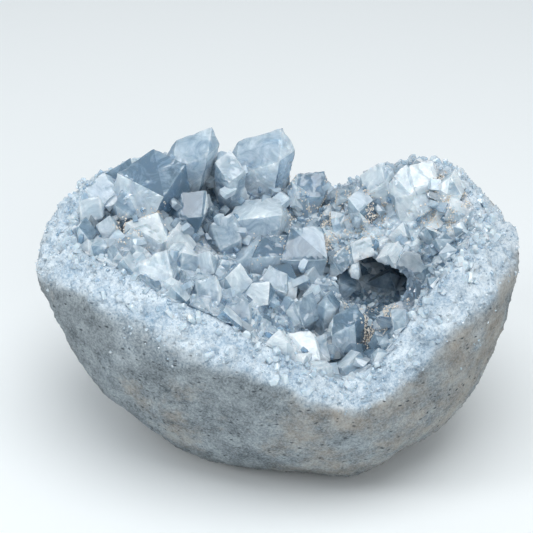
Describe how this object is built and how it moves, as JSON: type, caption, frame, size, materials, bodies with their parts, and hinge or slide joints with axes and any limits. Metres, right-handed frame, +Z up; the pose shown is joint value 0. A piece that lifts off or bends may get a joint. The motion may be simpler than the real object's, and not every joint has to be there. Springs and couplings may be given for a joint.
{
  "type": "rough celestite",
  "caption": "Egg-shaped celestite nodule with a ground grey skin, broken open on top over a hollow lined with blocky pale blue crystals and a small dark cave.",
  "frame": {"origin": "middle of the bounding box's plan, on the flat foot the nodule stands on", "axes": "+X along the nodule's width, +Y to its high back, so the low side of the rim faces -Y, and +Z up"},
  "size_m": [0.1196, 0.086, 0.0755],
  "materials": {
    "nodule": "ground matt, pitted, sugary at the rim",
    "crystal_crust": "clear to frosted crystal faces"
  },
  "bodies": {
    "root": {"nodule": "nodule", "crystal_crust": "crystal_crust"}
  },
  "joints": []
}
